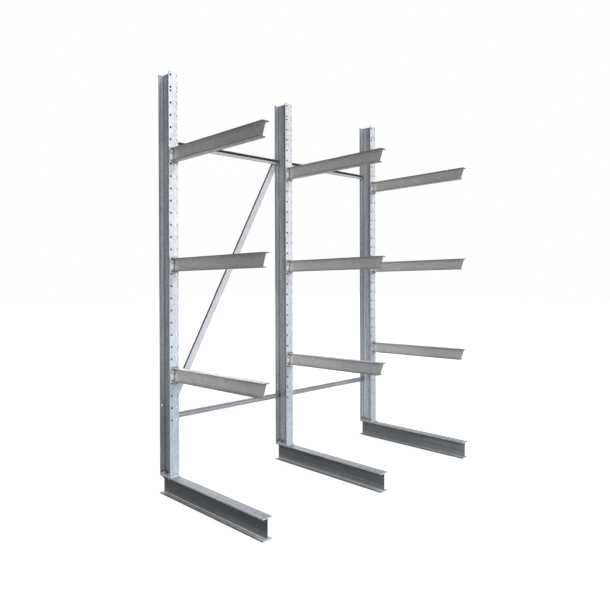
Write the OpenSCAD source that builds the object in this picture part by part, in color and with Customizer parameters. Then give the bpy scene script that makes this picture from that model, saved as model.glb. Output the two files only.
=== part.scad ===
// Single-sided cantilever rack: drilled I-section columns bolted on base beams, with three levels of
// bolted arms and a rear bracing of channels. Millimetres. X runs along the row, arms point to -Y, +Z is up,
// and the origin is on the floor under the middle of the rack.

/* [Layout] */
// Distance between the centre lines of neighbouring columns
bay = 960; // [500:10:1600]
// Hole row that carries the lowest arms, counted upwards from the lowest row, which is row 0
bottom_arm_row = 4; // [3:1:6]
// Rows of holes from one arm level to the next
level_step = 9; // [3:1:9]
// Hole row that carries the top brace, counted upwards from the top arms
brace_above_arm = 1; // [0:1:3]

/* [Column] */
// Length of the column above its foot plate
col_len = 2490; // [2400:10:3500]
// Depth of the column section, front to back
col_h = 120; // [100:1:200]
// Flange width of the column section
col_b = 64; // [60:1:110]
// Web thickness of the column section
col_tw = 4.4; // [3:0.1:8]
// Flange thickness of the column section
col_tf = 6.3; // [4:0.1:11]
// Root radius of the column section
col_r = 7; // [2:0.5:10]

/* [Column holes] */
// Diameter of the arm holes in the front flange
hole_d = 13.5; // [12.5:0.1:15]
// Vertical distance between rows of holes
hole_pitch = 75; // [50:1:78]
// Height of the lowest row of holes above the foot plate
first_row_up = 346; // [150:1:400]
// Depth of the highest head row below the top of the column
head_row_down = 22; // [15:1:40]
// Distance from the lower head row down to the main rows
head_row_gap = 22; // [16:1:40]

/* [Base beam] */
// Length of the base beam, front to back
base_len = 1000; // [600:10:1600]
// Height of the base beam section
base_h = 120; // [100:1:200]
// Flange width of the base beam section
base_b = 64; // [60:1:110]
// Web thickness of the base beam section
base_tw = 4.4; // [3:0.1:8]
// Flange thickness of the base beam section
base_tf = 6.3; // [4:0.1:11]
// Root radius of the base beam section
base_r = 7; // [2:0.5:10]

/* [Foot plate] */
// Thickness of the plate welded under the column
foot_t = 10; // [6:1:20]
// How far the plate stands ahead of the column
foot_lip = 12; // [2:1:30]
// Distance from the inside of a column flange to the foot bolts
foot_bolt_inset = 24; // [20:1:30]

/* [Arm] */
// Length of the arm along its top flange
arm_len = 870; // [300:10:1500]
// Height of the arm section
arm_h = 80; // [74:1:120]
// Flange width of the arm section
arm_b = 46; // [40:1:64]
// Web thickness of the arm section
arm_tw = 3.8; // [3:0.1:6]
// Flange thickness of the arm section
arm_tf = 5.2; // [4:0.1:8]
// Root radius of the arm section
arm_r = 5; // [2:0.5:7]
// Upward slope of the arm in degrees
arm_slope = 1; // [0:0.5:5]
// How much shorter the bottom flange is at the slanted tip
tip_setback = 32; // [0:1:60]

/* [Arm head plate] */
// Thickness of the plate welded to the root of the arm
plate_t = 8; // [5:1:15]
// Height of the plate above the arm
plate_over = 3; // [2:1:20]
// Height of the plate below the arm
plate_under = 8; // [2:1:30]
// Gap between the top flange of the arm and the washers under it
washer_gap = 2.8; // [1:0.1:10]

/* [Bracing] */
// Height of the horizontal brace channels
brace_h = 35; // [32:1:60]
// Width of the diagonal brace channel
diagonal_h = 43; // [32:1:60]
// Depth of the brace channels, web to flange tip
brace_d = 20; // [16:1:40]
// Sheet thickness of the brace channels
brace_t = 2.5; // [1.5:0.1:4]
// Inside bend radius of the brace channels
brace_r = 2; // [0.5:0.5:4]
// Diameter of the brace holes
brace_hole_d = 11; // [10.5:0.1:12]
// Gap between the end of a horizontal brace and the root radius of the column
brace_end_gap = 0.8; // [0.2:0.1:2]
// Length of the diagonal brace past its bolts
diagonal_tail = 22; // [15:1:40]

/* [Arm and foot fasteners] */
// Diameter of the arm and foot bolts
bolt_d = 12; // [10:0.5:12]
// Width across the flats of their heads and nuts
bolt_af = 18; // [16:0.5:20]
// Height of their heads
bolt_head_t = 7.5; // [5:0.1:9]
// Height of their nuts
nut_t = 10.8; // [8:0.1:12]
// Outside diameter of their washers
washer_d = 24; // [20:0.5:26]
// Thickness of their washers
washer_t = 2.5; // [1.5:0.1:4]
// Length of thread past the nut
bolt_tail = 4; // [1:0.5:10]

/* [Brace fasteners] */
// Diameter of the brace bolts
brace_bolt_d = 10; // [8:0.5:10]
// Width across the flats of their heads and nuts
brace_bolt_af = 16; // [13:0.5:17]
// Height of their heads
brace_head_t = 6.4; // [4:0.1:8]
// Height of their nuts
brace_nut_t = 8.4; // [6:0.1:10]
// Outside diameter of their washers
brace_washer_d = 20; // [16:0.5:22]
// Thickness of their washers
brace_washer_t = 2; // [1:0.1:3]
// Length of thread past the nut
brace_bolt_tail = 3; // [1:0.5:4]

/* [Hidden] */
$fn = 48;
over = 1;
root_clear = 0.1;
thread_clear = 0.1;
bore_clear = 0.5;
washer_edge = 1;
sides = ["left", "middle", "right"];
levels = ["bottom", "middle", "top"];
left_col = 0;
middle_col = 1;
right_col = 2;

// Two lines of holes: as close as the nuts in the column and the washers on the head plate allow
gauge = max(col_tw + 2 * col_r + bolt_af, arm_tw + 2 * arm_r + washer_d) + 2 * root_clear;
foot_gauge = max(gauge, base_tw + 2 * base_r + bolt_af + 2 * root_clear);
plate_w = max(col_b, gauge + washer_d + 2 * washer_edge);

// Heights
foot_top = base_h + foot_t;
col_top = foot_top + col_len;
main_top_down = head_row_down + hole_pitch + head_row_gap;
row_count = floor((col_len - first_row_up - main_top_down) / hole_pitch) + 1;
bolts_above_axis = arm_h / 2 - arm_tf - washer_gap - washer_d / 2;
low_brace_row = 0;
spare_brace_row = 1;
top_arm_row = bottom_arm_row + 2 * level_step;
top_brace_row = top_arm_row + brace_above_arm;
function col_x(i) = (i - 1) * bay;
function row_z(k) = foot_top + first_row_up + k * hole_pitch;
function arm_row(level) = bottom_arm_row + level * level_step;
function arm_z(level) = row_z(arm_row(level)) - bolts_above_axis;

// Depths: the rack is centred between its front and the flange tips of the diagonal
arm_depth = col_h + plate_t + arm_len;
nut_stack = brace_t + brace_washer_t + brace_nut_t + brace_bolt_tail;
back_proud = max(brace_d, nut_stack);
rear_y = (max(base_len, arm_depth) - back_proud) / 2;
face_y = rear_y - col_h;
plate_y = face_y - plate_t;
flange_back_y = rear_y - col_tf;
foot_bolt_y = [face_y + col_tf + foot_bolt_inset, rear_y - col_tf - foot_bolt_inset];
foot_w = max(plate_w, base_b, foot_gauge + washer_d + 2 * washer_edge);

// Bracing: where each brace is bolted, as [column, side of its web, hole row]
brace_end_x = col_tw / 2 + col_r + brace_end_gap;
brace_len = bay - 2 * brace_end_x;
top_nodes = [[left_col, 1], [middle_col, -1], [middle_col, 1], [right_col, -1]];
brace_nodes = [for (row = [low_brace_row, top_brace_row]) for (n = top_nodes) [n[0], n[1], row]];
diagonal_low = [left_col, 1, low_brace_row];
diagonal_high = [middle_col, -1, top_brace_row];
diagonal_run = bay - gauge;
diagonal_rise = row_z(top_brace_row) - row_z(low_brace_row);
diagonal_angle = atan2(diagonal_rise, diagonal_run);
diagonal_len = norm([diagonal_run, diagonal_rise]);
function node_x(n) = col_x(n[0]) + n[1] * gauge / 2;
function under_nut(n) = n == diagonal_low || n == diagonal_high ? brace_t : 0;

// Rolled I-section, upright and centred on its middle
module i_section(h, b, tw, tf, r) {
    clear = h / 2 - tf;
    root = min(r, clear, (b - tw) / 2);
    difference() {
        square([b, h], center = true);
        for (side = [0, 1]) mirror([side, 0]) {
            translate([tw / 2 + root, -clear]) square([b / 2, 2 * clear]);
            translate([tw / 2, root - clear]) square([b / 2, 2 * (clear - root)]);
            for (s = [-1, 1]) translate([tw / 2 + root, s * (clear - root)]) circle(root);
        }
    }
}

// Folded channel section of height h: its web lies on the X axis line y = 0 and its flanges point to +Y
module channel_section(h) {
    outer = brace_r + brace_t;
    difference() {
        rounded_back(h, brace_d, outer);
        translate([0, brace_t]) rounded_back(h - 2 * brace_t, brace_d, brace_r);
    }
}

// Rectangle of a width and a depth from y = 0, with its two corners at y = 0 rounded
module rounded_back(w, d, r) {
    translate([-w / 2, r]) square([w, d - r]);
    translate([r - w / 2, 0]) square([w - 2 * r, d]);
    for (s = [-1, 1]) translate([s * (w / 2 - r), r]) circle(r);
}

// Hexagon prism with two flats facing +X and -X
module hexagon(af, t) {
    rotate([0, 0, 30]) cylinder(d = af / cos(30), h = t, $fn = 6);
}

// Bolt whose head bears on z = 0 from above, with its shank pointing down
module bolt(d, af, head_t, shank) {
    hexagon(af, head_t);
    translate([0, 0, -shank]) cylinder(d = d, h = shank + head_t / 2);
}

// Nut that bears on z = 0 from below
module nut(d, af, t) {
    translate([0, 0, -t]) difference() {
        hexagon(af, t);
        translate([0, 0, -over]) cylinder(d = d + 2 * thread_clear, h = t + 2 * over);
    }
}

// Washer that lies on z = 0
module washer(d, outer, t) {
    difference() {
        cylinder(d = outer, h = t);
        translate([0, 0, -over]) cylinder(d = d + 2 * bore_clear, h = t + 2 * over);
    }
}

// Bore along Y through a wall of thickness t that starts at y = 0 and runs to +Y
module bore_y(d, t) {
    translate([0, t + over, 0]) rotate([90, 0, 0]) cylinder(d = d, h = t + 2 * over);
}

// The places of the two arm bolts in a hole row, on the face of the column
module at_row(i, k) {
    for (s = [-1, 1]) translate([col_x(i) + s * gauge / 2, face_y, row_z(k)]) children();
}

// The places of the six arm bolts of a column, with +Z turned to the front
module at_arm_bolts(i) {
    for (level = [0:2]) at_row(i, arm_row(level)) rotate([90, 0, 0]) children();
}

// The places of the four foot bolts of a column, on the base beam
module at_foot_bolts(i) {
    for (s = [-1, 1]) for (y = foot_bolt_y)
        translate([col_x(i) + s * foot_gauge / 2, y, base_h]) children();
}

// The places of the brace bolts, on the inside of the rear flange, with +Z turned to the front
module at_brace_bolt(n) {
    translate([node_x(n), flange_back_y, row_z(n[2])]) rotate([90, 0, 0]) children();
}

// Column

module column(i) {
    color("lightsteelblue") difference() {
        translate([col_x(i), face_y + col_h / 2, foot_top]) linear_extrude(col_len)
            i_section(col_h, col_b, col_tw, col_tf, col_r);
        for (k = [0:row_count - 1]) at_row(i, k) bore_y(hole_d, col_tf);
        head_holes(i);
        rear_holes(i);
    }
}

// Two rows of holes at the head of the column, above the main rows
module head_holes(i) {
    for (s = [-1, 1]) for (row = [0, 1])
        translate([col_x(i) + s * gauge / 2, face_y, col_top - head_row_down - row * hole_pitch])
            bore_y(hole_d, col_tf);
}

// Brace holes in the rear flange: both lower rows on both sides, and the top row where a brace is bolted
module rear_holes(i) {
    for (s = [-1, 1]) for (k = [low_brace_row, spare_brace_row, top_brace_row])
        if (k != top_brace_row || len([for (n = top_nodes) if (n == [i, s]) 1]) > 0)
            translate([col_x(i) + s * gauge / 2, flange_back_y, row_z(k)]) bore_y(brace_hole_d, col_tf);
}

// Foot

module foot_plate(i) {
    color("silver") difference() {
        translate([col_x(i) - foot_w / 2, face_y - foot_lip, base_h])
            cube([foot_w, col_h + foot_lip, foot_t]);
        at_foot_bolts(i) translate([0, 0, -over]) cylinder(d = hole_d, h = foot_t + 2 * over);
    }
}

module base_beam(i) {
    color("slategray") difference() {
        translate([col_x(i), rear_y, base_h / 2]) rotate([90, 0, 0]) linear_extrude(base_len)
            i_section(base_h, base_b, base_tw, base_tf, base_r);
        at_foot_bolts(i) translate([0, 0, -base_tf - over]) cylinder(d = hole_d, h = base_tf + 2 * over);
    }
}

module foot_bolts(i) {
    color("gainsboro") at_foot_bolts(i) translate([0, 0, foot_t + washer_t])
        bolt(bolt_d, bolt_af, bolt_head_t, washer_t + foot_t + base_tf + nut_t + bolt_tail);
}

module foot_washers(i) {
    color("gainsboro") at_foot_bolts(i) translate([0, 0, foot_t]) washer(bolt_d, washer_d, washer_t);
}

module foot_nuts(i) {
    color("gainsboro") at_foot_bolts(i) translate([0, 0, -base_tf]) nut(bolt_d, bolt_af, nut_t);
}

// Arm

module arm(i, level) {
    lean = arm_h / 2 * tan(arm_slope);
    color("darkgray") translate([col_x(i), plate_y, arm_z(level)]) rotate([-arm_slope, 0, 0]) intersection() {
        rotate([90, 0, 0]) translate([0, 0, -arm_h]) linear_extrude(arm_len + 2 * arm_h)
            i_section(arm_h, arm_b, arm_tw, arm_tf, arm_r);
        rotate([90, 0, -90]) linear_extrude(arm_b + 2 * over, center = true) polygon([
            [lean, arm_h / 2],
            [arm_len, arm_h / 2],
            [arm_len - tip_setback, -arm_h / 2],
            [-lean, -arm_h / 2]
        ]);
    }
}

module arm_plate(i, level) {
    plate_h = plate_under + arm_h + plate_over;
    color("silver") difference() {
        translate([col_x(i) - plate_w / 2, plate_y, arm_z(level) - arm_h / 2 - plate_under])
            cube([plate_w, plate_t, plate_h]);
        at_row(i, arm_row(level)) translate([0, -plate_t, 0]) bore_y(hole_d, plate_t);
    }
}

module arm_bolts(i) {
    color("gainsboro") at_arm_bolts(i) translate([0, 0, plate_t + washer_t])
        bolt(bolt_d, bolt_af, bolt_head_t, washer_t + plate_t + col_tf + nut_t + bolt_tail);
}

module arm_washers(i) {
    color("gainsboro") at_arm_bolts(i) translate([0, 0, plate_t]) washer(bolt_d, washer_d, washer_t);
}

module arm_nuts(i) {
    color("gainsboro") at_arm_bolts(i) translate([0, 0, -col_tf]) nut(bolt_d, bolt_af, nut_t);
}

// Bracing

// Horizontal brace in a bay, its web flat on the inside of the rear flanges and its flanges to the front
module horizontal_brace(i, row) {
    z = row_z(row);
    color("lightgray") difference() {
        translate([col_x(i) + brace_end_x, flange_back_y, z]) rotate([90, 0, 90]) linear_extrude(brace_len)
            rotate(90) channel_section(brace_h);
        for (x = [col_x(i) + gauge / 2, col_x(i + 1) - gauge / 2])
            translate([x, flange_back_y - brace_t, z]) bore_y(brace_hole_d, brace_t);
    }
}

// Diagonal of the left bay, its web flat on the back of the rear flanges and its flanges to the back
module diagonal_brace() {
    color("lightgray") translate([node_x(diagonal_low), rear_y, row_z(low_brace_row)])
        rotate([0, -diagonal_angle, 0]) difference() {
            translate([-diagonal_tail, 0, 0]) rotate([90, 0, 90])
                linear_extrude(diagonal_len + 2 * diagonal_tail) rotate(-90) channel_section(diagonal_h);
            for (x = [0, diagonal_len]) translate([x, 0, 0]) bore_y(brace_hole_d, brace_t);
        }
}

module brace_bolts() {
    color("gainsboro") for (n = brace_nodes) at_brace_bolt(n) translate([0, 0, brace_t])
        bolt(brace_bolt_d, brace_bolt_af, brace_head_t,
            brace_t + col_tf + under_nut(n) + brace_washer_t + brace_nut_t + brace_bolt_tail);
}

module brace_washers() {
    color("gainsboro") for (n = brace_nodes) at_brace_bolt(n)
        translate([0, 0, -col_tf - under_nut(n) - brace_washer_t])
            washer(brace_bolt_d, brace_washer_d, brace_washer_t);
}

module brace_nuts() {
    color("gainsboro") for (n = brace_nodes) at_brace_bolt(n)
        translate([0, 0, -col_tf - under_nut(n) - brace_washer_t])
            nut(brace_bolt_d, brace_bolt_af, brace_nut_t);
}

for (i = [0:2]) {
    column(i);
    foot_plate(i);
    base_beam(i);
    arm_bolts(i);
    arm_washers(i);
    arm_nuts(i);
    foot_bolts(i);
    foot_washers(i);
    foot_nuts(i);
    for (level = [0:2]) {
        arm(i, level);
        arm_plate(i, level);
    }
}
horizontal_brace(left_col, top_brace_row);  // top_brace_left
horizontal_brace(middle_col, top_brace_row);  // top_brace_right
horizontal_brace(left_col, low_brace_row);  // low_brace_left
horizontal_brace(middle_col, low_brace_row);  // low_brace_right
diagonal_brace();
brace_bolts();
brace_washers();
brace_nuts();
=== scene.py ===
import math

import bpy
from mathutils import Matrix, Vector


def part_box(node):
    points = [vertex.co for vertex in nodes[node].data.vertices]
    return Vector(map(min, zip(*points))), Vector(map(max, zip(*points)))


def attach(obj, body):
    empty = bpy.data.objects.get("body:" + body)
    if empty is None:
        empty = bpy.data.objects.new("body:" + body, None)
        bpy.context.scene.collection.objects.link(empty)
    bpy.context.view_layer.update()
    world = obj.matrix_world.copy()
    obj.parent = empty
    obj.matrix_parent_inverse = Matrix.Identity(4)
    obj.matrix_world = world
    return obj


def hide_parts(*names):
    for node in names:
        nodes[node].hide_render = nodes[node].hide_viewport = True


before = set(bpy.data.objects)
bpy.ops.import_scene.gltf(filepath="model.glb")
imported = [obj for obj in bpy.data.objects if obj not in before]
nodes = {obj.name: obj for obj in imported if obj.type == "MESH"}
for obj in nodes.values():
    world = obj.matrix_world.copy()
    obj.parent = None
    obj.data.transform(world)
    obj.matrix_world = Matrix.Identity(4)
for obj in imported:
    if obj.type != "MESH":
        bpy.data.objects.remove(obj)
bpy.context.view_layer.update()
sides = ["left", "middle", "right"]
levels = ["bottom", "middle", "top"]
mm = 0.001
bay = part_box("column_middle")[0].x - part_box("column_left")[0].x  # between the axes of the columns
print("frame loaded:", len(nodes), "nodes")

# camera: the photo's view, measured on the columns, bases and arms

viewpoint = {
    "place": (-2.9386, -2.8482, 1.3664),
    "yaw": 45.68,  # degrees from +Y towards +X
    "pitch": -0.344,
    "roll": -0.162,
    "focalPixels": 594.6,
    "centrePixel": (323.3, 278.6),  # where the lens axis meets the picture
    "framePixels": 610,
    "sensor": 36.0,
}


def makeCamera(s):
    bpy.ops.object.camera_add(location=s["place"])
    camera = bpy.context.object
    camera.name = "photoCamera"
    camera.rotation_euler = [math.radians(a) for a in (90 + s["pitch"], -s["roll"], -s["yaw"])]
    half = s["framePixels"] / 2
    camera.data.sensor_width = s["sensor"]
    camera.data.lens = s["focalPixels"] / s["framePixels"] * s["sensor"]
    camera.data.shift_x = (half - s["centrePixel"][0]) / s["framePixels"]
    camera.data.shift_y = (s["centrePixel"][1] - half) / s["framePixels"]
    bpy.context.scene.camera = camera


makeCamera(viewpoint)
bpy.context.scene.view_settings.view_transform = "Standard"
print("camera set")

# studio: white surroundings, a key and a soft fill from the front, a weak light from behind,
# and a dark flag behind on the left that the camera doesn't see

studio = {
    "floorSize": 60.0,
    "floorDrop": 0.5 * mm,  # keeps the floor clear of the undersides of the bases
    "floorSeen": 0.45,
    "floorGlow": (0.83, 0.96),  # near the rack, where its shadow shows, and far off
    "floorFade": (2.5, 6.0),
    "floorBounce": 0.16,
    "skyLight": (0.158, 0.16, 0.166),
    "flagPlace": (-3.8, 3.6, 3.5),
    "flagSize": (9.0, 4.4),
    "flagTone": 0.06,
    "keyFrom": (0.25, -0.72, 0.60),
    "keyPower": 1.4,
    "keySpread": 18.0,  # degrees
    "keyColour": (0.95, 1.0, 1.05),
    "fillPlace": (-2.5, -6.0, 2.6),
    "fillAim": (-0.2, 0.0, 1.3),
    "fillSize": (4.0, 3.2),
    "fillPower": 290.0,
    "fillGloss": 0.4,
    "backFrom": (0.45, 0.80, 0.30),
    "backPower": 1.1,
    "backSpread": 40.0,
}


def addNode(tree, kind, **values):
    node = tree.nodes.new(kind)
    for key, value in values.items():
        if hasattr(node, key):
            setattr(node, key, value)
        else:
            node.inputs[key.replace("_", " ")].default_value = value
    return node


def link(tree, source, target):
    tree.links.new(source, target)


def seenDirectly(tree):
    # 1 for rays from the camera, from gloss and through glass
    path = addNode(tree, "ShaderNodeLightPath")
    first = addNode(tree, "ShaderNodeMath", operation="MAXIMUM")
    second = addNode(tree, "ShaderNodeMath", operation="MAXIMUM")
    link(tree, path.outputs["Is Camera Ray"], first.inputs[0])
    link(tree, path.outputs["Is Glossy Ray"], first.inputs[1])
    link(tree, first.outputs[0], second.inputs[0])
    link(tree, path.outputs["Is Transmission Ray"], second.inputs[1])
    return second.outputs[0]


def grey(value):
    return (value, value, value, 1.0)


def newMaterial(name):
    material = bpy.data.materials.new(name)
    material.use_nodes = True
    material.node_tree.nodes.clear()
    return material, material.node_tree


def makeSurroundings(s):
    world = bpy.data.worlds.new("studioSurroundings")
    world.use_nodes = True
    tree = world.node_tree
    tree.nodes.clear()
    ambient = addNode(tree, "ShaderNodeBackground", Color=(*s["skyLight"], 1.0))
    white = addNode(tree, "ShaderNodeBackground", Color=grey(1.0))
    mix = addNode(tree, "ShaderNodeMixShader")
    link(tree, seenDirectly(tree), mix.inputs[0])
    link(tree, ambient.outputs[0], mix.inputs[1])
    link(tree, white.outputs[0], mix.inputs[2])
    link(tree, mix.outputs[0], addNode(tree, "ShaderNodeOutputWorld").inputs[0])
    bpy.context.scene.world = world


def makeFloor(s):
    bpy.ops.mesh.primitive_plane_add(size=s["floorSize"], location=(0, 0, -s["floorDrop"]))
    floor = bpy.context.object
    floor.name = "studioFloor"
    material, tree = newMaterial("paleFloor")
    bounce = addNode(tree, "ShaderNodeBsdfDiffuse", Color=grey(s["floorBounce"]))
    lit = addNode(tree, "ShaderNodeBsdfDiffuse", Color=grey(s["floorSeen"]))
    coords = addNode(tree, "ShaderNodeTexCoord").outputs["Object"]
    reach = addNode(tree, "ShaderNodeVectorMath", operation="LENGTH")
    link(tree, coords, reach.inputs[0])
    fade = addNode(tree, "ShaderNodeMapRange", interpolation_type="SMOOTHSTEP")
    sockets = ["From Min", "From Max", "To Min", "To Max"]
    for socket, value in zip(sockets, s["floorFade"] + s["floorGlow"]):
        fade.inputs[socket].default_value = value
    link(tree, reach.outputs["Value"], fade.inputs["Value"])
    glow = addNode(tree, "ShaderNodeEmission")
    link(tree, fade.outputs[0], glow.inputs["Strength"])
    seen = addNode(tree, "ShaderNodeAddShader")
    link(tree, lit.outputs[0], seen.inputs[0])
    link(tree, glow.outputs[0], seen.inputs[1])
    mix = addNode(tree, "ShaderNodeMixShader")
    link(tree, seenDirectly(tree), mix.inputs[0])
    link(tree, bounce.outputs[0], mix.inputs[1])
    link(tree, seen.outputs[0], mix.inputs[2])
    link(tree, mix.outputs[0], addNode(tree, "ShaderNodeOutputMaterial").inputs[0])
    floor.data.materials.append(material)
    return floor


def makeFlag(s):
    bpy.ops.mesh.primitive_plane_add(size=1.0, location=s["flagPlace"], rotation=(math.pi / 2, 0, 0))
    flag = bpy.context.object
    flag.name = "studioFlag"
    flag.scale = (*s["flagSize"], 1.0)
    flag.visible_camera = False
    flag.visible_shadow = False
    material, tree = newMaterial("flagCloth")
    cloth = addNode(tree, "ShaderNodeBsdfDiffuse", Color=grey(s["flagTone"]))
    link(tree, cloth.outputs[0], addNode(tree, "ShaderNodeOutputMaterial").inputs[0])
    flag.data.materials.append(material)
    return flag


def addSun(name, comesFrom, power, spread):
    bpy.ops.object.light_add(type="SUN")
    sun = bpy.context.object
    sun.name = name
    sun.data.energy = power
    sun.data.angle = math.radians(spread)
    sun.rotation_euler = Vector(comesFrom).to_track_quat("Z", "Y").to_euler()
    return sun


def makeLights(s):
    key = addSun("frontKey", s["keyFrom"], s["keyPower"], s["keySpread"])
    key.data.color = s["keyColour"]

    bpy.ops.object.light_add(type="AREA", location=s["fillPlace"])
    fill = bpy.context.object
    fill.name = "softFill"
    fill.data.shape = "RECTANGLE"
    fill.data.size, fill.data.size_y = s["fillSize"]
    fill.data.energy = s["fillPower"]
    fill.data.specular_factor = s["fillGloss"]
    away = Vector(s["fillPlace"]) - Vector(s["fillAim"])
    fill.rotation_euler = away.to_track_quat("Z", "Y").to_euler()

    addSun("backFill", s["backFrom"], s["backPower"], s["backSpread"])


makeSurroundings(studio)
floor = makeFloor(studio)
flag = makeFlag(studio)
makeLights(studio)
print("studio set")

# zinc finishes: crystals of the dip, streaks along each member, cloudy patches and a fine grain

zincFinishes = {
    "columnZinc": {
        "light": (0.79, 0.815, 0.84), "dark": (0.55, 0.575, 0.60), "along": "Z", "metallic": 0.20},
    "baseZinc": {
        "light": (0.68, 0.71, 0.74), "dark": (0.51, 0.535, 0.56), "along": "Y", "gloss": 0.2,
        "cornerTone": 0.85},
    "armZinc": {
        "light": (0.79, 0.79, 0.775), "dark": (0.63, 0.625, 0.61), "along": "Y", "metallic": 0.10,
        "cornerTone": 0.80},
    "plateZinc": {
        "light": (0.90, 0.91, 0.92), "dark": (0.74, 0.75, 0.77), "along": "Z", "metallic": 0.10},
    "topBraceZinc": {
        "light": (0.68, 0.70, 0.72), "dark": (0.54, 0.56, 0.58), "along": "X", "gloss": 0.2},
    "lowBraceZinc": {
        "light": (0.58, 0.61, 0.63), "dark": (0.46, 0.49, 0.51), "along": "X", "gloss": 0.3},
    "diagonalZinc": {
        "light": (0.70, 0.70, 0.73), "dark": (0.55, 0.55, 0.59), "along": "Z", "gloss": 0.2,
        "cornerTone": 0.80},
    "boltZinc": {
        "light": (0.70, 0.70, 0.70), "dark": (0.50, 0.50, 0.51), "along": "Z", "metallic": 0.6},
    # painted shade: a darker copy of the bolt zinc for the brace bolts, which sit in shade
    "darkBoltZinc": {
        "light": (0.36, 0.36, 0.37), "dark": (0.22, 0.22, 0.23), "along": "Z", "metallic": 0.3},
    "armWeldZinc": {
        "light": (0.07, 0.075, 0.085), "dark": (0.035, 0.04, 0.045), "along": "Z", "gloss": 0.15},
}

# the grain of every finish, and the values that hold where a finish gives none
zincGrain = {
    "crystalScale": 75.0,  # crystals per metre
    "crystalWander": 0.012,
    "wanderScale": 45.0,
    "fineScale": 260.0,
    "fineDetail": 2.0,
    "broadDetail": 3.0,
    "streakAcross": 55.0,
    "streakAlong": 1.6,
    "patchScale": 3.5,
    "patchShare": 0.40,
    "crystalShare": 0.22,
    "fineShare": 0.12,
    "contrast": (0.36, 0.64),
    "streakEdge": (0.60, 0.40),
    "roughness": (0.40, 0.58),
    "fineInRoughness": 0.5,
    "bump": 0.08,
    "bumpDepth": 0.4 * mm,
    "fineInBump": 0.5,
    "cornerReach": 18.0 * mm,
    "cornerSamples": 8,
    "cornerOpen": (0.95, 0.45),  # how open a corner is where the painted shade starts, and where it is darkest
    # how dark the painted shade in the corners gets
    "cornerTone": 0.28,
    "facing": (0.7, 0.9),  # how squarely a face looks along a direction where a region starts and is full
    "metallic": 0.0,
    "gloss": 0.5,
}

# faces and directions that the regions are measured from
columnFront, columnRear = (corner.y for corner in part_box("column_left"))
columnFlange = 6.3 * mm
innerFront = columnFront + columnFlange
innerRear = columnRear - columnFlange
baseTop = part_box("base_beam_left")[1].z
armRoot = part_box("arm_plate_left_bottom")[0].y
topBraceMiddle = sum(corner.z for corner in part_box("top_brace_left")) / 2
lowBraceMiddle = sum(corner.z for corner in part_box("low_brace_left")) / 2
toBack = (0, 1, 0)
toTop = (0, 0, 1)
ontoTip = (0, -0.93, -0.37)  # square to the slanted cut at the tip of an arm
ontoDiagonal = (-0.88, 0, 0.47)  # square to the flange of the diagonal that faces up to the left

# edges and stretches that several regions share
behindFront = (innerFront - 1.3 * mm, innerFront)
beforeRear = (innerRear - 3.0 * mm, innerRear - 1.5 * mm)
insideRear = (innerRear + 3.5 * mm, innerRear + 5.0 * mm)
lowerPart = (None, None, 0.35, 1.25)
leftToRight = (None, None, -1.0, 1.4)
baseRecess = (5.3 * mm, 11.3 * mm, baseTop - 10.0 * mm, baseTop - 6.0 * mm)
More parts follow.
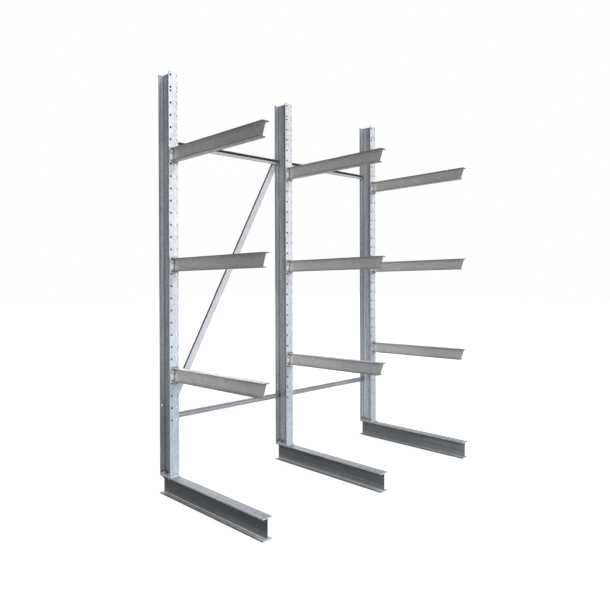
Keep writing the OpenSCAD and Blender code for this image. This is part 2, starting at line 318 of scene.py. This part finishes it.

# where a finish is darker or brighter, most of it painted shade and painted light: along X, Y, Z or "side",
# which is how far a point is from the axis of its own column, a region gives where it starts, is full, is
# last full and ends;
# "facing" keeps the faces that look along a direction, "away" leaves them out, and "streaks" is the share
# between streaks
zincRegions = {
    "columnZinc": [
        # painted shade between the flanges, darkest beside the front flange, where its shadow falls
        {"Y": behindFront + beforeRear, "away": toBack, "tint": (0.88, 0.89, 0.92), "streaks": 0.10},
        {"Y": behindFront + (innerFront + 31.7 * mm, innerFront + 47.7 * mm), "X": (None, None, 0.2, 1.3),
         "away": toBack, "tint": (0.36, 0.37, 0.38), "streaks": 0.90},
        # a painted shade line where the web meets the rear flange
        {"Y": (innerRear - 15.0 * mm, innerRear - 11.0 * mm, innerRear - 1.5 * mm, innerRear),
         "tint": (0.52, 0.53, 0.54)},
        # painted shade inside the rear flange, darkest near its tips
        {"Y": beforeRear + insideRear, "tint": (0.66, 0.68, 0.71), "streaks": 0.60},
        {"Y": beforeRear + insideRear, "side": (16.0 * mm, 18.0 * mm, None, None),
         "tint": (0.61, 0.62, 0.63), "streaks": 0.80},
        # painted light on the lower part between the flanges, brighter towards the right of the row
        {"Y": behindFront + insideRear, "Z": lowerPart, "tint": (1.45, 1.46, 1.47)},
        {"Y": behindFront + insideRear, "Z": lowerPart, "X": leftToRight, "tint": (0.46, 0.46, 0.46)},
        # painted shade, bluish, on the lower part of the front flange
        {"Y": (None, None) + behindFront, "Z": (None, None, 0.45, 1.75), "tint": (0.70, 0.755, 0.83)},
        # painted shade in the bores in the front flange
        {"Y": (columnFront + 0.1 * mm, columnFront + 0.3 * mm,
               innerFront - 0.3 * mm, innerFront - 0.1 * mm),
         "side": (None, None, 28.0 * mm, 28.2 * mm), "tint": (0.15, 0.15, 0.15)},
    ],
    "baseZinc": [
        # painted shade between the flanges, darkest just under the top flange, with painted light towards
        # the right of the row and the bottom
        {"Z": baseRecess, "tint": (0.48, 0.485, 0.485), "streaks": 0.80},
        {"Z": baseRecess, "X": leftToRight, "tint": (0.36, 0.36, 0.36)},
        {"Z": (baseTop - 34.0 * mm, baseTop - 12.0 * mm, baseTop - 7.0 * mm, baseTop - 6.0 * mm),
         "tint": (0.80, 0.80, 0.80)},
        {"Z": (6.4 * mm, 7.0 * mm, 8.0 * mm, 62.0 * mm), "X": leftToRight, "tint": (2.5, 2.5, 2.5)},
        # the top
        {"Z": (baseTop - 1.0 * mm, baseTop - 0.5 * mm, None, None), "facing": toTop,
         "tint": (0.57, 0.58, 0.59)},
        # painted shade on the tips of the bottom flange
        {"Z": (None, None, 6.0 * mm, 6.4 * mm), "side": (31.0 * mm, 31.8 * mm, None, None),
         "tint": (0.15, 0.15, 0.15)},
    ],
    "armZinc": [
        # painted light on the lower levels and at the root, where bounced light falls; darker towards the
        # tip
        {"Z": (None, None, 0.70, 2.05), "tint": (1.25, 1.25, 1.26)},
        {"Y": (armRoot - 57.0 * mm, armRoot - 2.0 * mm, None, None), "tint": (1.25, 1.27, 1.30)},
        {"Y": (None, None, armRoot - 862.0 * mm, armRoot - 62.0 * mm), "tint": (0.70, 0.70, 0.70)},
        # the tops and the tips of the flanges
        {"facing": toTop, "tint": (0.62, 0.62, 0.62)},
        {"side": (22.3 * mm, 22.5 * mm, None, None), "tint": (0.52, 0.52, 0.52)},
        # painted shade on the slanted cut at the tip, which faces down
        {"facing": ontoTip, "tint": (0.22, 0.22, 0.22)},
    ],
    "topBraceZinc": [
        # painted shadow of the upper flange on the upper half of the web
        {"Z": (topBraceMiddle - 2.0 * mm, topBraceMiddle + 4.0 * mm,
               topBraceMiddle + 14.5 * mm, topBraceMiddle + 15.0 * mm),
         "away": toBack, "tint": (0.10, 0.105, 0.115), "streaks": 0.90},
    ],
    "lowBraceZinc": [
        # painted shadow of the upper flange on the upper half of the web
        {"Z": (lowBraceMiddle - 6.0 * mm, lowBraceMiddle + 2.0 * mm,
               lowBraceMiddle + 14.5 * mm, lowBraceMiddle + 15.0 * mm),
         "away": toBack, "tint": (0.75, 0.76, 0.77), "streaks": 0.85},
    ],
    "diagonalZinc": [
        # painted shade on the flange that faces up to the left, turned from the key light
        {"Y": (columnRear + 0.5 * mm, columnRear + 2.5 * mm, None, None), "facing": ontoDiagonal,
         "tint": (0.22, 0.22, 0.23), "streaks": 0.90},
    ],
    "boltZinc": [
        # painted shade on the nuts under the base beam's top flange
        {"Z": (50.0 * mm, 51.0 * mm, 114.0 * mm, 115.0 * mm), "tint": (0.30, 0.30, 0.30), "streaks": 0.90},
    ],
}


def zinc(name, s, regions):
    material, tree = newMaterial(name)
    coords = addNode(tree, "ShaderNodeTexCoord").outputs["Object"]

    def blend(first, second, share):
        mix = addNode(tree, "ShaderNodeMix", data_type="FLOAT")
        mix.inputs["Factor"].default_value = share
        link(tree, first, mix.inputs["A"])
        link(tree, second, mix.inputs["B"])
        return mix.outputs["Result"]

    def step(value, start, end):
        # 0 before the start and 1 after the end
        node = addNode(tree, "ShaderNodeMapRange", interpolation_type="SMOOTHSTEP")
        node.inputs["From Min"].default_value = start
        node.inputs["From Max"].default_value = end
        link(tree, value, node.inputs["Value"])
        return node.outputs[0]

    def maths(operation, *values):
        node = addNode(tree, "ShaderNodeMath", operation=operation)
        for socket, value in zip(node.inputs, values):
            if isinstance(value, float):
                socket.default_value = value
            else:
                link(tree, value, socket)
        return node.outputs[0]

    def tinted(base, share, tint):
        mix = addNode(tree, "ShaderNodeMix", data_type="RGBA", blend_type="MULTIPLY")
        link(tree, share, mix.inputs["Factor"])
        link(tree, base, mix.inputs["A"])
        mix.inputs["B"].default_value = (*tint, 1.0)
        return mix.outputs["Result"]

    # crystals with wandering edges
    wander = addNode(tree, "ShaderNodeTexNoise", Scale=s["wanderScale"], Detail=s["fineDetail"])
    link(tree, coords, wander.inputs["Vector"])
    bend = addNode(tree, "ShaderNodeMix", data_type="VECTOR")
    bend.inputs["Factor"].default_value = s["crystalWander"]
    link(tree, coords, bend.inputs["A"])
    link(tree, wander.outputs["Color"], bend.inputs["B"])
    crystal = addNode(tree, "ShaderNodeTexVoronoi", Scale=s["crystalScale"])
    link(tree, bend.outputs["Result"], crystal.inputs["Vector"])
    cell = addNode(tree, "ShaderNodeSeparateColor")
    link(tree, crystal.outputs["Color"], cell.inputs[0])

    # streaks that run along the member
    scale = [s["streakAlong"] if axis == s["along"] else s["streakAcross"] for axis in "XYZ"]
    stretch = addNode(tree, "ShaderNodeMapping", Scale=scale)
    link(tree, coords, stretch.inputs["Vector"])
    streak = addNode(tree, "ShaderNodeTexNoise", Scale=1.0, Detail=s["broadDetail"])
    link(tree, stretch.outputs[0], streak.inputs["Vector"])

    patch = addNode(tree, "ShaderNodeTexNoise", Scale=s["patchScale"], Detail=s["broadDetail"])
    link(tree, coords, patch.inputs["Vector"])
    fine = addNode(tree, "ShaderNodeTexNoise", Scale=s["fineScale"], Detail=s["fineDetail"])
    link(tree, coords, fine.inputs["Vector"])

    tone = blend(streak.outputs["Fac"], patch.outputs["Fac"], s["patchShare"])
    tone = blend(tone, cell.outputs[0], s["crystalShare"])
    tone = blend(tone, fine.outputs["Fac"], s["fineShare"])
    ramp = addNode(tree, "ShaderNodeValToRGB")
    for stop, place, shade in zip(ramp.color_ramp.elements, s["contrast"], ["dark", "light"]):
        stop.position = place
        stop.color = (*s[shade], 1.0)
    link(tree, tone, ramp.inputs[0])
    colour = ramp.outputs[0]

    # the regions
    where = addNode(tree, "ShaderNodeSeparateXYZ")
    link(tree, coords, where.inputs[0])
    along = {axis: where.outputs[axis] for axis in "XYZ"}
    along["side"] = maths("ABSOLUTE", maths("WRAP", along["X"], bay / 2, -bay / 2))
    normal = addNode(tree, "ShaderNodeNewGeometry").outputs["True Normal"]

    def looks(direction):
        # 1 where a face looks straight along a direction
        node = addNode(tree, "ShaderNodeVectorMath", operation="DOT_PRODUCT")
        link(tree, normal, node.inputs[0])
        node.inputs[1].default_value = direction
        return node.outputs["Value"]

    wet = step(streak.outputs["Fac"], *s["streakEdge"])
    for region in regions:
        shares = []
        for axis in [key for key in region if key in along]:
            start, full, last, end = region[axis]
            if full is not None:
                shares.append(step(along[axis], start, full))
            if last is not None:
                shares.append(step(along[axis], end, last))
        if "facing" in region:
            shares.append(step(looks(region["facing"]), *s["facing"]))
        if "away" in region:
            shares.append(step(looks(region["away"]), *reversed(s["facing"])))
        if "streaks" in region:
            shares.append(maths("MULTIPLY_ADD", wet, 1.0 - region["streaks"], region["streaks"]))
        share = shares[0]
        for other in shares[1:]:
            share = maths("MULTIPLY", share, other)
        colour = tinted(colour, share, region["tint"])

    # painted shade in the corners, darker where a point is more enclosed
    corner = addNode(
        tree, "ShaderNodeAmbientOcclusion", samples=s["cornerSamples"], Distance=s["cornerReach"])
    cornerShade = step(corner.outputs["AO"], *s["cornerOpen"])
    colour = tinted(colour, cornerShade, [s["cornerTone"]] * 3)

    rough = addNode(tree, "ShaderNodeMapRange")
    rough.inputs["To Min"].default_value, rough.inputs["To Max"].default_value = s["roughness"]
    link(tree, blend(cell.outputs[1], fine.outputs["Fac"], s["fineInRoughness"]), rough.inputs["Value"])

    bump = addNode(tree, "ShaderNodeBump", Strength=s["bump"], Distance=s["bumpDepth"])
    height = blend(crystal.outputs["Distance"], fine.outputs["Fac"], s["fineInBump"])
    link(tree, height, bump.inputs["Height"])

    shader = addNode(tree, "ShaderNodeBsdfPrincipled", Metallic=s["metallic"])
    shader.inputs["Specular IOR Level"].default_value = s["gloss"]
    link(tree, colour, shader.inputs["Base Color"])
    link(tree, rough.outputs[0], shader.inputs["Roughness"])
    link(tree, bump.outputs[0], shader.inputs["Normal"])
    link(tree, shader.outputs[0], addNode(tree, "ShaderNodeOutputMaterial").inputs[0])
    return material


finish = {}
for name, s in zincFinishes.items():
    finish[name] = zinc(name, {**zincGrain, **s}, zincRegions.get(name, []))


def dress(obj, material):
    obj.data.materials.clear()
    obj.data.materials.append(material)


for side in sides:
    dress(nodes["column_" + side], finish["columnZinc"])
    dress(nodes["foot_plate_" + side], finish["plateZinc"])
    dress(nodes["base_beam_" + side], finish["baseZinc"])
    for level in levels:
        dress(nodes[f"arm_{side}_{level}"], finish["armZinc"])
        dress(nodes[f"arm_plate_{side}_{level}"], finish["plateZinc"])
for side in ["left", "right"]:
    dress(nodes["top_brace_" + side], finish["topBraceZinc"])
    dress(nodes["low_brace_" + side], finish["lowBraceZinc"])
dress(nodes["diagonal_brace"], finish["diagonalZinc"])
print("finishes on the solids")

# fasteners: hexagon heads and nuts with turned chamfers, ridged thread ends and washers with soft edges,
# in millimetres and degrees

coarse = {
    "d": 12.0, "across": 18.0, "head": 7.5, "nut": 10.8, "washer": 24.0, "washerT": 2.5,
    "pitch": 1.75, "threaded": 18.0}
medium = {
    "d": 10.0, "across": 16.0, "head": 6.4, "nut": 8.4, "washer": 20.0, "washerT": 2.0,
    "pitch": 1.5, "threaded": 14.0}
turned = {
    "flatShare": 0.95,  # how much of the width across the flats a chamfer leaves flat
    "chamfer": 30.0,
    "coneSides": 48,
    "shankSides": 20,
    "ridge": 0.88,  # the radius between two ridges of a thread, as a share of the shank's
    "boreSides": 32,
    "nutClearance": 0.1,
    "washerClearance": 0.5,
    "washerSides": 40,
    "washerBevel": 0.35,
    "washerSegments": 2,
    "boltSpin": 37,  # how far each is turned from the one before
    "nutSpin": 0,
    "washerSpin": 13,
    "hexagonTurn": 60,
    "smoothBelow": 30.0,
}
squarely = 0.99  # cosine of the most that a face may lean from a direction that it is picked by
mergeWithin = 0.01 * mm


def selectOnly(obj):
    bpy.ops.object.select_all(action="DESELECT")
    obj.select_set(True)
    bpy.context.view_layer.objects.active = obj


def applyAll(obj):
    selectOnly(obj)
    for modifier in list(obj.modifiers):
        bpy.ops.object.modifier_apply(modifier=modifier.name)


def combine(obj, tool, how):
    modifier = obj.modifiers.new("combine", "BOOLEAN")
    modifier.operation = how
    modifier.object = tool
    applyAll(obj)
    bpy.data.objects.remove(tool)


def ownCopy(obj):
    # a copy with its own mesh
    copy = obj.copy()
    copy.data = obj.data.copy()
    bpy.context.scene.collection.objects.link(copy)
    return copy


def mergedCopy(node):
    # a copy of a node, its triangles merged, in edit mode with all of it selected
    copy = ownCopy(nodes[node])
    selectOnly(copy)
    bpy.ops.object.mode_set(mode="EDIT")
    bpy.ops.mesh.select_all(action="SELECT")
    bpy.ops.mesh.remove_doubles(threshold=mergeWithin)
    return copy


def joinAs(name, objects):
    bpy.ops.object.select_all(action="DESELECT")
    for obj in objects:
        obj.select_set(True)
    bpy.context.view_layer.objects.active = objects[0]
    if len(objects) > 1:
        bpy.ops.object.join()
    piece = bpy.context.object
    piece.name = name
    return piece


def hexPrism(across, low, high):
    # two flats face +X and -X
    radius = across / 2 / math.cos(math.radians(30))
    bpy.ops.mesh.primitive_cylinder_add(
        vertices=6, radius=radius * mm, depth=(high - low) * mm, location=(0, 0, (low + high) / 2 * mm))
    prism = bpy.context.object
    bpy.ops.object.transform_apply()
    return prism


def chamferEnd(prism, across, low, high, up):
    # a cone turned against the end takes the corners off the hexagon
    rise = high - low
    small = across / 2 * turned["flatShare"]
    large = small + rise / math.tan(math.radians(turned["chamfer"]))
    radii = (large, small) if up else (small, large)
    bpy.ops.mesh.primitive_cone_add(
        vertices=turned["coneSides"], radius1=radii[0] * mm, radius2=radii[1] * mm, depth=rise * mm,
        location=(0, 0, (low + high) / 2 * mm))
    combine(prism, bpy.context.object, "INTERSECT")


def faceTowards(obj, direction):
    # selects the faces that look along a direction, in edit mode
    bpy.ops.object.mode_set(mode="EDIT")
    bpy.ops.mesh.select_mode(type="FACE")
    bpy.ops.mesh.select_all(action="DESELECT")
    bpy.ops.object.mode_set(mode="OBJECT")
    for face in obj.data.polygons:
        face.select = face.normal.dot(Vector(direction)) > squarely
    bpy.ops.object.mode_set(mode="EDIT")


def makeBolt(s, length):
    # the head bears on z = 0 and the shank points down
    head = hexPrism(s["across"], 0, s["head"])
    chamferEnd(head, s["across"], 0, s["head"], True)
    plain = length - s["threaded"]
    bpy.ops.object.select_all(action="DESELECT")
    bpy.ops.mesh.primitive_cylinder_add(
        vertices=turned["shankSides"], radius=s["d"] / 2 * mm, depth=plain * mm,
        location=(0, 0, -plain / 2 * mm))
    shank = bpy.context.object
    bpy.ops.object.transform_apply()
    faceTowards(shank, (0, 0, -1))
    ridges = int(s["threaded"] / s["pitch"])
    for k in range(ridges):
        for scale in (turned["ridge"], 1 / turned["ridge"]):
            bpy.ops.mesh.extrude_region_move(
                TRANSFORM_OT_translate={"value": (0, 0, -s["pitch"] / 2 * mm)})
            bpy.ops.transform.resize(value=(scale, scale, 1))
    rest = s["threaded"] - ridges * s["pitch"]
    bpy.ops.mesh.extrude_region_move(TRANSFORM_OT_translate={"value": (0, 0, -rest * mm)})
    bpy.ops.transform.resize(value=(turned["ridge"], turned["ridge"], 1))
    bpy.ops.object.mode_set(mode="OBJECT")
    head.select_set(True)
    bpy.context.view_layer.objects.active = head
    bpy.ops.object.join()
    return bpy.context.object


def boreThrough(obj, radius, thickness):
    # the tool stands well out of both sides
    bpy.ops.mesh.primitive_cylinder_add(
        vertices=turned["boreSides"], radius=radius * mm, depth=3 * thickness * mm)
    combine(obj, bpy.context.object, "DIFFERENCE")


def makeNut(s):
    # bears on z = 0 from below
    nut = hexPrism(s["across"], -s["nut"], 0)
    chamferEnd(nut, s["across"], -s["nut"], 0, True)
    chamferEnd(nut, s["across"], -s["nut"], 0, False)
    boreThrough(nut, s["d"] / 2 + turned["nutClearance"], s["nut"])
    return nut


def makeWasher(s):
    # lies on z = 0
    bpy.ops.mesh.primitive_cylinder_add(
        vertices=turned["washerSides"], radius=s["washer"] / 2 * mm, depth=s["washerT"] * mm,
        location=(0, 0, s["washerT"] / 2 * mm))
    washer = bpy.context.object
    bpy.ops.object.transform_apply()
    boreThrough(washer, s["d"] / 2 + turned["washerClearance"], s["washerT"])
    soften = washer.modifiers.new("soften", "BEVEL")
    soften.width = turned["washerBevel"] * mm
    soften.segments = turned["washerSegments"]
    applyAll(washer)
    return washer


def solidBoxes(node):
    # the lowest and highest corner of each separate solid in a node
    mergedCopy(node)
    bpy.ops.mesh.separate(type="LOOSE")
    bpy.ops.object.mode_set(mode="OBJECT")
    boxes = []
    for part in list(bpy.context.selected_objects):
        corners = [Vector(c) for c in part.bound_box]
        boxes.append((Vector(map(min, *corners)), Vector(map(max, *corners))))
        bpy.data.objects.remove(part)
    return sorted(boxes, key=lambda box: [round(v, 4) for v in box[0]])


toFront = Matrix.Rotation(math.radians(90), 4, "X")  # +Z of a fastener turns to -Y
upright = Matrix.Identity(4)


def placeAll(pick, name, node, turn, seat, spin, material):
    # a copy of the picked template on each solid of the node, joined into one piece
    copies = []
    for k, (low, high) in enumerate(solidBoxes(node)):
        copy = ownCopy(pick(low, high))
        twist = Matrix.Rotation(math.radians(spin * (k + 1) % turned["hexagonTurn"]), 4, "Z")
        copy.data.transform(Matrix.Translation(seat(low, high)) @ turn @ twist)
        copies.append(copy)
    piece = joinAs(name, copies)
    bpy.ops.object.shade_smooth_by_angle(angle=math.radians(turned["smoothBelow"]))
    dress(piece, finish[material])
    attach(piece, "root")
    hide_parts(node)


def middle(low, high):
    return (low + high) / 2


def headSeat(s, axis):
    # a bolt's head bears where its box ends, less the height of the head
    def seat(low, high):
        centre = middle(low, high)
        if axis == "Y":
            return Vector((centre.x, low.y + s["head"] * mm, centre.z))
        return Vector((centre.x, centre.y, high.z - s["head"] * mm))
    return seat


def nearSeat(axis, end):
    # the end of the box that a nut or washer is measured from
    def seat(low, high):
        centre = middle(low, high)
        near = low if end == "low" else high
        if axis == "Y":
            return Vector((centre.x, near.y, centre.z))
        return Vector((centre.x, centre.y, near.z))
    return seat


def makeFasteners(prefix, nodeEnd, s, axis, material):
    turn = toFront if axis == "Y" else upright
    nutEnd, washerEnd = ("low", "high") if axis == "Y" else ("high", "low")
    label = prefix + nodeEnd.title().replace("_", "")
    bolts = {}

    def boltFor(low, high):
        # one bolt for each length
        reach = high.y - low.y if axis == "Y" else high.z - low.z
        length = round(reach / mm - s["head"], 1)
        if length not in bolts:
            bolts[length] = makeBolt(s, length)
        return bolts[length]

    def place(pick, kind, seat, spin):
        placeAll(pick, label + kind.title(), f"{prefix}_{kind}{nodeEnd}", turn, seat, spin, material)

    nut = makeNut(s)
    washer = makeWasher(s)
    place(boltFor, "bolts", headSeat(s, axis), turned["boltSpin"])
    place(lambda low, high: nut, "nuts", nearSeat(axis, nutEnd), turned["nutSpin"])
    place(lambda low, high: washer, "washers", nearSeat(axis, washerEnd), turned["washerSpin"])
    for template in [*bolts.values(), nut, washer]:
        bpy.data.objects.remove(template)


for side in sides:
    makeFasteners("arm", "_" + side, coarse, "Y", "boltZinc")
    makeFasteners("foot", "_" + side, coarse, "Z", "boltZinc")
makeFasteners("brace", "", medium, "Y", "darkBoltZinc")
print("fasteners made")

# weld beads: round the root of each arm on its head plate, and round the foot of each column where the foot
# plate stands out past it

bead = {
    "arm": 2.2 * mm,
    "foot": 3.0 * mm,
    "lift": 0.2 * mm,  # how far from the plate the member is cut to find the line of the weld
    "rim": 0.1 * mm,  # how near to the rim of the foot plate an edge counts as on it
    "step": 4.0 * mm,
    "wander": 0.25 * mm,
    "armSeed": 1,
    "footSeed": 20,
    "ripple": 0.14,
    "ripplePace": 2.4,  # radians from one point to the next
    "rounding": 2,
}


def sectionLine(node, place, across):
    # the outline of a member where a plane cuts it, as bare edges
    line = mergedCopy(node)
    bpy.ops.mesh.bisect(plane_co=place, plane_no=across, clear_inner=True, clear_outer=True)
    bpy.ops.object.mode_set(mode="OBJECT")
    return line


def edgeEnds(obj, edge):
    return [obj.data.vertices[k].co for k in edge.vertices]


def selectEdges(obj, wanted):
    # selects the edges whose ends pass a test, in edit mode, and counts them
    bpy.ops.object.mode_set(mode="EDIT")
    bpy.ops.mesh.select_mode(type="EDGE")
    bpy.ops.mesh.select_all(action="DESELECT")
    bpy.ops.object.mode_set(mode="OBJECT")
    count = 0
    for edge in obj.data.edges:
        edge.select = wanted(*edgeEnds(obj, edge))
        count += edge.select
    bpy.ops.object.mode_set(mode="EDIT")
    return count


def isLong(a, b):
    return (a - b).length > bead["step"]


def armLine(side, level):
    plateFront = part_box(f"arm_plate_{side}_{level}")[0][1]
    return sectionLine(f"arm_{side}_{level}", (0, plateFront - bead["lift"], 0), (0, 1, 0))


def footLine(side):
    low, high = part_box("column_" + side)
    line = sectionLine("column_" + side, (0, 0, low[2] + bead["lift"]), (0, 0, 1))

    def onRim(a, b):
        # along the tips of the flanges and the back, where the plate ends flush
        tips = any(abs(a.x - x) < bead["rim"] and abs(b.x - x) < bead["rim"] for x in (low[0], high[0]))
        return tips or min(a.y, b.y) > high[1] - bead["rim"]

    selectOnly(line)
    selectEdges(line, onRim)
    bpy.ops.mesh.delete(type="EDGE")
    bpy.ops.object.mode_set(mode="OBJECT")
    return line


def makeBead(line, radius, seed):
    # short steps along the line, which wander a little and swell and shrink
    selectOnly(line)
    while selectEdges(line, isLong):
        bpy.ops.mesh.subdivide(number_cuts=1)
    bpy.ops.mesh.select_all(action="SELECT")
    bpy.ops.transform.vertex_random(offset=bead["wander"], seed=seed)
    bpy.ops.object.mode_set(mode="OBJECT")
    bpy.ops.object.convert(target="CURVE")
    path = bpy.context.object.data
    path.bevel_depth = radius
    path.bevel_resolution = bead["rounding"]
    path.use_fill_caps = True
    for spline in path.splines:
        for k, point in enumerate(spline.points):
            point.radius = 1 + bead["ripple"] * math.sin(bead["ripplePace"] * k)
    bpy.ops.object.convert(target="MESH")
    return bpy.context.object


def joinBeads(beads, name, material):
    piece = joinAs(name, beads)
    bpy.ops.object.shade_smooth()
    dress(piece, finish[material])
    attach(piece, "root")


for k, side in enumerate(sides):
    beads = []
    for m, level in enumerate(levels):
        seed = bead["armSeed"] + len(levels) * k + m
        beads.append(makeBead(armLine(side, level), bead["arm"], seed))
    joinBeads(beads, "armWelds" + side.title(), "armWeldZinc")
    footBead = makeBead(footLine(side), bead["foot"], bead["footSeed"] + k)
    joinBeads([footBead], "footWelds" + side.title(), "plateZinc")
print("welds made")
